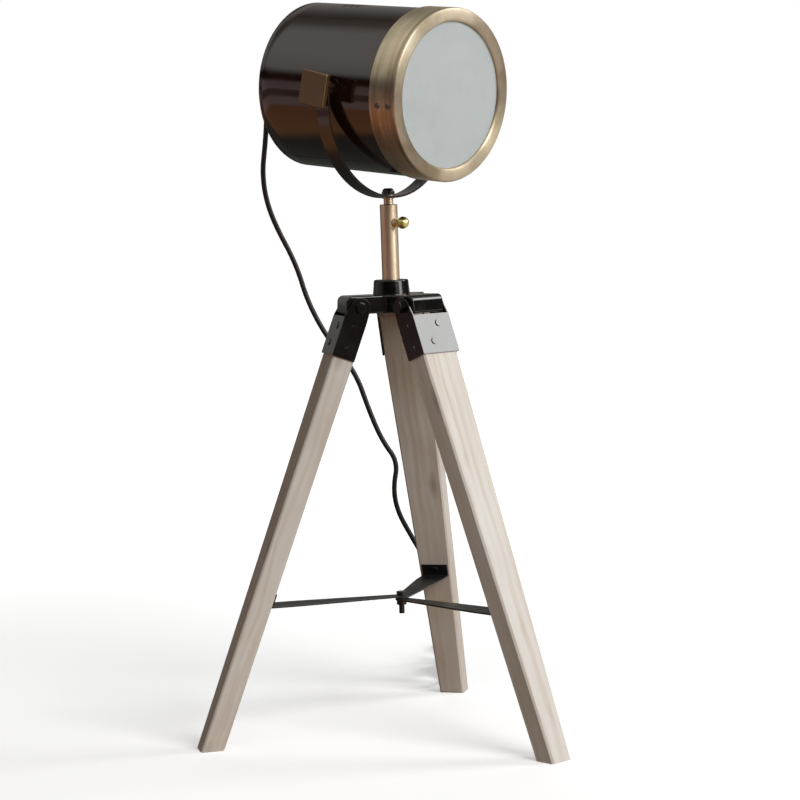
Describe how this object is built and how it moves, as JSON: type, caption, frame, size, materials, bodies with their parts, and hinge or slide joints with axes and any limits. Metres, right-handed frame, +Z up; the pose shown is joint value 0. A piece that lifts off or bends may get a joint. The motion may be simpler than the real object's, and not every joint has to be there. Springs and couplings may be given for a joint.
{
  "type": "tabletop searchlight lamp",
  "caption": "Tabletop searchlight lamp: drum head with glass front in a tilting yoke on a sliding mast, tapered wooden tripod with spreader, corded with switch and plug",
  "frame": {"origin": "on the table, at the middle of the box round the lamp without its cord", "axes": "+Z up; the front leg points to -Y, and the lamp shines towards -Y, turned 3.6 degrees to +X and dipped 6.6 degrees"},
  "size_m": [0.495, 0.4514, 0.6616],
  "materials": {
    "bleached_wood": "weathered, waxed",
    "black_enamel": "gloss",
    "bronze_enamel": "gloss",
    "antique_brass": "brushed, aged",
    "warm_nickel": "satin",
    "polished_brass": "polished",
    "zinc_steel": "plain",
    "black_screws": "black oxide",
    "black_sheet": "satin",
    "clear_glass": "clear",
    "bulb_glass": "frosted",
    "bulb_aluminium": "bright",
    "white_ceramic": "satin",
    "bush_plastic": "plain",
    "black_plastic": "satin",
    "black_rubber": "matt",
    "black_tie": "woven"
  },
  "bodies": {
    "stand": {"hub": "black_enamel", "leg_front": "bleached_wood", "leg_rear_right": "bleached_wood", "leg_rear_left": "bleached_wood", "leg_bracket_front": "black_enamel", "leg_bracket_rear_right": "black_enamel", "leg_bracket_rear_left": "black_enamel", "hinge_spacers": "zinc_steel", "hinge_bolts": "black_screws", "hinge_nuts": "black_screws", "bracket_screws": "black_screws", "cheek_rivets": "black_screws", "spreader_arm_front": "black_sheet", "spreader_arm_rear_right": "black_sheet", "spreader_arm_rear_left": "black_sheet", "spreader_screws": "black_screws", "spreader_bolt": "black_screws", "spreader_nut": "black_screws", "post_tube": "warm_nickel", "post_bush": "bush_plastic", "post_locknut": "zinc_steel", "cord_lower": "black_rubber", "switch_case": "black_plastic", "cord_tail": "black_rubber", "cord_hank": "black_rubber", "hank_tie": "black_tie", "cord_end": "black_rubber", "plug_body": "black_plastic", "plug_pins": "zinc_steel"},
    "clamp": {"clamp_screw": "polished_brass"},
    "mast": {"mast": "warm_nickel", "yoke_washers": "warm_nickel", "acorn_nut": "bronze_enamel", "cord_middle": "black_rubber"},
    "yoke": {"yoke": "black_enamel", "cord_upper": "black_rubber"},
    "head": {"drum_shell": "bronze_enamel", "rear_cap": "bronze_enamel", "bezel": "antique_brass", "bezel_screws": "antique_brass", "seam_rivets": "antique_brass", "lens": "clear_glass", "lens_gasket": "black_rubber", "holder_plate": "zinc_steel", "holder_screws": "zinc_steel", "lampholder": "white_ceramic", "bulb_cap": "bulb_aluminium", "bulb_glass": "bulb_glass", "pivot_bosses": "zinc_steel", "pivot_spacers": "bronze_enamel", "knob_washers": "bronze_enamel", "strain_relief": "black_rubber"},
    "knob_right": {"tilt_knob_right": "bronze_enamel"},
    "knob_left": {"tilt_knob_left": "bronze_enamel"},
    "rocker": {"switch_rocker": "black_plastic"}
  },
  "joints": [
    {"name": "mast_lift", "type": "slide", "parent": "stand", "child": "mast", "axis": [0, 0, 1], "range_m": [-0.004, 0.04], "deforming": ["cord_lower"]},
    {"name": "yoke_pan", "type": "hinge", "parent": "mast", "child": "yoke", "pos_m": [0, 0.04243, 0.483], "axis": [0, 0, 1], "range_deg": [-70, 70], "deforming": ["cord_middle"]},
    {"name": "head_tilt", "type": "hinge", "parent": "yoke", "child": "head", "pos_m": [0, 0.04243, 0.57875], "axis": [0.998, 0.0628, 0], "range_deg": [-34, 21], "deforming": ["cord_upper"]},
    {"name": "knob_right_turn", "type": "hinge", "parent": "head", "child": "knob_right", "pos_m": [0, 0.04243, 0.57875], "axis": [0.998, 0.0628, 0], "range_deg": [0, 180]},
    {"name": "knob_left_turn", "type": "hinge", "parent": "head", "child": "knob_left", "pos_m": [0, 0.04243, 0.57875], "axis": [-0.998, -0.0628, 0], "range_deg": [0, 180]},
    {"name": "clamp_turn", "type": "hinge", "parent": "stand", "child": "clamp", "pos_m": [0, 0.04243, 0.4608], "axis": [0, -1, 0], "range_deg": [0, 270]},
    {"name": "switch_rock", "type": "hinge", "parent": "stand", "child": "rocker", "pos_m": [0.15549, 0.14245, 0.07517], "axis": [-0.4996, 0.8653, -0.0418], "range_deg": [0, 16]}
  ]
}
